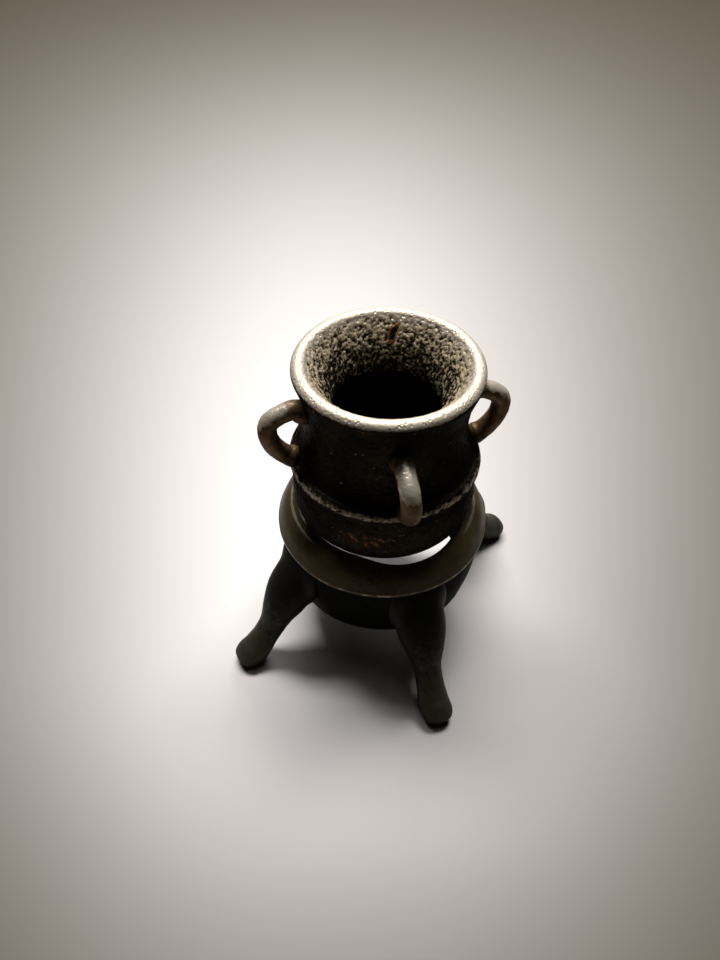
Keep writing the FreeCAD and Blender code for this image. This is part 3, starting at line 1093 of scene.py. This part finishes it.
@dataclass(frozen=True)
class Studio:
    """Pale floor, soft lights and the camera of the photo's view.

    The floor has a painted pool of light round the object, fading to painted shade further out. The pool's
    values are its centre, its width at the sides and how that spreads with depth, its reach towards the
    camera and away from it, the steepness of its edge and its skew. Lengths are in mm, apart from the floor's
    half side in metres.
    """

    focal_px: float = 800.0
    width_px: float = 720.0
    height_px: float = 960.0
    distance: float = 123.0
    elevation: float = 38.1
    roll: float = 2.52
    target_px: Point = (388.59, 366.95)
    target_mm: Place = (0.0, 0.0, 57.5)
    clip_start: float = 0.001
    floor_half_m: float = 1.2
    floor_rough: float = 0.9
    floor_painted_shade: Colour = (0.068, 0.052, 0.029)
    floor_painted_light: Colour = (0.930, 0.879, 0.853)
    pool_mm: Point = (-9.4, -14.7)
    pool_side: float = 53.687
    pool_spread: float = 0.221
    pool_near: float = 48.928
    pool_far: float = 203.867
    pool_power: float = 0.832
    pool_skew: float = -0.062
    room: Colour = (1.0, 0.97, 0.93)
    room_strength: float = 0.003

    def camera(self) -> bpy.types.Object:
        """Set the camera so that the lip's centre lands on its pixel.

        Returns:
            The camera.
        """
        e = math.radians(self.elevation)
        back = Vector((0.0, -math.cos(e), math.sin(e)))
        right = Vector((1.0, 0.0, 0.0))
        up = back.cross(right)
        base = Matrix((right, -up, -back))
        aim = Vector(((self.target_px[0] - 0.5 * self.width_px) / self.focal_px,
                      (self.target_px[1] - 0.5 * self.height_px) / self.focal_px, 1.0)).normalized()
        swing = Vector((0.0, 0.0, 1.0)).rotation_difference(aim).to_matrix()
        spin = Matrix.Rotation(math.radians(self.roll), 3, "Z")
        view = swing @ spin @ base
        place = Matrix((view[0], -view[1], -view[2])).transposed().to_4x4()
        place.translation = (Vector(self.target_mm) + back * self.distance) * MM
        data = bpy.data.cameras.new("view")
        data.sensor_width = SENSOR_MM
        data.lens = self.focal_px / self.height_px * SENSOR_MM
        data.clip_start = self.clip_start
        camera = bpy.data.objects.new("view", data)
        camera.matrix_world = place
        bpy.context.scene.collection.objects.link(camera)
        bpy.context.scene.camera = camera
        return camera

    def floor(self) -> bpy.types.Object:
        """Lay the pale floor with a painted pool of light round the object and painted shade away from it.

        Returns:
            The floor.
        """
        mesh = bpy.data.meshes.new("floor")
        half = self.floor_half_m
        corners = [(-half, -half, 0), (half, -half, 0), (half, half, 0), (-half, half, 0)]
        mesh.from_pydata(corners, [], [(0, 1, 2, 3)])
        plane = bpy.data.objects.new("floor", mesh)
        bpy.context.scene.collection.objects.link(plane)
        mat = bpy.data.materials.new("paper_painted_light_pool")
        mat.use_nodes = True
        tree = mat.node_tree
        shader = tree.nodes["Principled BSDF"]
        place = tree.nodes.new("ShaderNodeTexCoord")
        split = tree.nodes.new("ShaderNodeSeparateXYZ")
        tree.links.new(place.outputs["Object"], split.inputs[0])
        work = partial(maths, tree)
        side = work("SUBTRACT", split.outputs["X"], self.pool_mm[0] * MM)
        ahead = work("SUBTRACT", split.outputs["Y"], self.pool_mm[1] * MM)
        side = work("MULTIPLY_ADD", ahead, -self.pool_skew, side)
        width = work("MULTIPLY_ADD", ahead, self.pool_spread, self.pool_side * MM)
        width = work("MAXIMUM", width, 0.5 * self.pool_side * MM)
        across = work("DIVIDE", side, width)
        near = work("DIVIDE", work("MINIMUM", ahead, 0.0), self.pool_near * MM)
        far = work("DIVIDE", work("MAXIMUM", ahead, 0.0), self.pool_far * MM)
        along = work("ADD", near, far)
        away = work("MULTIPLY_ADD", along, along, work("MULTIPLY", across, across))
        steep = work("POWER", away, self.pool_power)
        fall = work("EXPONENT", work("MULTIPLY", steep, -1.0))
        # Painted light: pale in the pool, painted shade further away
        tone = tree.nodes.new("ShaderNodeMix")
        tone.data_type = "RGBA"
        tone.inputs[6].default_value = (*self.floor_painted_shade, 1.0)
        tone.inputs[7].default_value = (*self.floor_painted_light, 1.0)
        tree.links.new(fall, tone.inputs[0])
        tree.links.new(tone.outputs[2], shader.inputs["Base Color"])
        shader.inputs["Roughness"].default_value = self.floor_rough
        mesh.materials.append(mat)
        return plane

    def lights(self) -> None:
        """Hang a wide light behind and above, a low one behind and a weak one overhead, in a dim room."""
        for panel in PANELS:
            panel.hang()
        world = bpy.data.worlds.new("room")
        world.use_nodes = True
        back = world.node_tree.nodes["Background"]
        back.inputs["Color"].default_value = (*self.room, 1.0)
        back.inputs["Strength"].default_value = self.room_strength
        bpy.context.scene.world = world


def finishes(groups: NodeGroups) -> dict[str, Finish]:
    """The five bronzes.

    Args:
        groups: the shared shader effects.

    Returns:
        A finish for each kind of piece.
    """
    smooth = {"grain_scale": 1100.0, "pit_scale": 1500.0, "pit_depth": 0.3, "bump": 0.22,
              "cloud_scale": 150.0}
    return {
        # The pot's rubbed bronze is half diffuse, so its pale worn lip, bead line and flecks also paint
        # highlights under any lamp.
        "pot": Finish(
            "rough_pot_bronze", groups, dark=(0.0155, 0.0132, 0.0098), cloud=(0.027, 0.0215, 0.0148),
            rust=(0.36, 0.15, 0.055), crust=(0.52, 0.42, 0.275), worn=(0.68, 0.59, 0.46),
            dark_rough=0.48, worn_rough=0.46, grain_scale=1500.0, pit_scale=1500.0, pit_depth=0.7,
            bump=0.9, cloud_scale=190.0, edge=0.3, metal=0.88, bare=0.5),
        # The handles' rubbed bronze is pale and partly diffuse, so their worn tops also carry a painted
        # highlight.
        "handle": Finish(
            "handle_bronze_wear_and_painted_highlight", groups, dark=(0.130, 0.078, 0.040), cloud=(0.215, 0.132, 0.070),
            rust=(0.040, 0.023, 0.012), crust=(0.2, 0.16, 0.1), worn=(0.86, 0.75, 0.60),
            dark_rough=0.45, worn_rough=0.34, grain_scale=1300.0, pit_scale=1700.0, pit_depth=0.5,
            bump=0.5, cloud_scale=300.0, edge=0.4, metal=0.4, bare=0.62),
        "collar": Finish(
            "olive_collar_bronze", groups, dark=(0.060, 0.044, 0.020), cloud=(0.086, 0.064, 0.031),
            rust=(0.06, 0.034, 0.016), crust=(0.1, 0.08, 0.05), worn=(0.60, 0.53, 0.41),
            dark_rough=0.42, worn_rough=0.32, metal=0.12, bare=0.85, **smooth),
        # The apron's bronze is made far darker than the collar's, as painted shade under the collar.
        "apron": Finish(
            "apron_bronze_painted_shade", groups, dark=(0.0065, 0.0068, 0.0048), cloud=(0.010, 0.010, 0.0072),
            rust=(0.03, 0.019, 0.01), crust=(0.1, 0.08, 0.05), worn=(0.03, 0.028, 0.02),
            dark_rough=0.5, worn_rough=0.45, edge=0.35, metal=0.85, bare=0.6, **smooth),
        "leg": Finish(
            "olive_leg_bronze", groups, dark=(0.011, 0.0106, 0.0082), cloud=(0.016, 0.0153, 0.0118),
            rust=(0.03, 0.019, 0.01), crust=(0.1, 0.08, 0.05), worn=(0.048, 0.044, 0.030),
            dark_rough=0.5, worn_rough=0.45, edge=0.35, metal=0.25, bare=0.25, **smooth),
    }


def main() -> None:
    """Build the stand and the pot in order, then the studio, logging each piece's face count."""
    logging.basicConfig(level=logging.INFO, format="%(name)s %(message)s")
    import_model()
    looks = finishes(NodeGroups())
    Collar(looks["collar"]).build()
    Apron(looks["apron"]).build()
    for side, azimuth in LEG_AZIMUTHS.items():
        Leg(side, azimuth, looks["leg"]).build()
    Pot(looks["pot"]).build()
    for side, azimuth in HANDLE_AZIMUTHS.items():
        Handle(side, azimuth, looks["handle"], lean=HANDLE_LEANS.get(side, 0.0)).build()
    studio = Studio()
    studio.floor()
    studio.lights()
    studio.camera()
    bpy.context.scene.view_settings.view_transform = "Standard"


if __name__ == "__main__":
    main()
